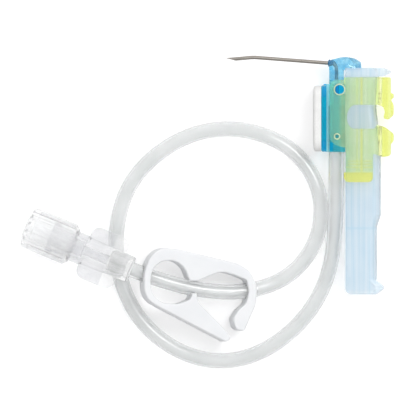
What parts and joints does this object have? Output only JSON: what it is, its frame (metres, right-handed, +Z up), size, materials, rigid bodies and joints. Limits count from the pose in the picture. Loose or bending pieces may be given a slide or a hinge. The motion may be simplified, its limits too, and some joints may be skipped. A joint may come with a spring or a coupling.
{
  "type": "safety huber needle",
  "caption": "Bent non-coring port needle on a winged, padded base with a swing-and-slide needle guard, a looped extension tube, an open pinch clamp and a capped winged luer connector.",
  "frame": {"origin": "on the surface the set lies on, under the middle of the needle, hub, base, bracket and guard together", "axes": "+Z up off the surface and along the guard's hinge pin, +Y along the guard towards the needle, +X away from the skin pad"},
  "size_m": [0.0917, 0.0768, 0.0141],
  "materials": {
    "steel": "drawn and polished stainless steel",
    "hub_blue": "translucent blue moulded plastic",
    "base_blue": "bright blue moulded plastic",
    "foam": "soft closed cell foam",
    "bracket_yellow": "translucent yellow green plastic",
    "guard_blue": "translucent pale blue plastic",
    "tube_clear": "soft clear plastic tube",
    "clamp_white": "smooth white moulded plastic",
    "luer_clear": "clear moulded plastic",
    "cap_clear": "clear moulded plastic, ribbed"
  },
  "bodies": {
    "root": {"cannula": "steel", "needle_hub": "hub_blue", "winged_base": "base_blue", "foam_pad": "foam", "extension_tube": "tube_clear", "pinch_clamp": "clamp_white", "luer_connector": "luer_clear"},
    "bracket": {"guard_bracket": "bracket_yellow"},
    "guard": {"needle_guard": "guard_blue"},
    "cap": {"luer_cap": "cap_clear"}
  },
  "joints": [
    {"name": "guard_swing", "type": "hinge", "parent": "root", "child": "bracket", "pos_m": [0.00734, 0.02095, 0.007], "axis": [0, 0, 1], "range_deg": [0, 85.6]},
    {"name": "guard_slide", "type": "slide", "parent": "bracket", "child": "guard", "axis": [0, 1, 0], "range_m": [0, 0.0245]},
    {"name": "cap_pull", "type": "slide", "parent": "root", "child": "cap", "axis": [-0.9183, 0.3819, -0.1046], "range_m": [0, 0.012]}
  ]
}
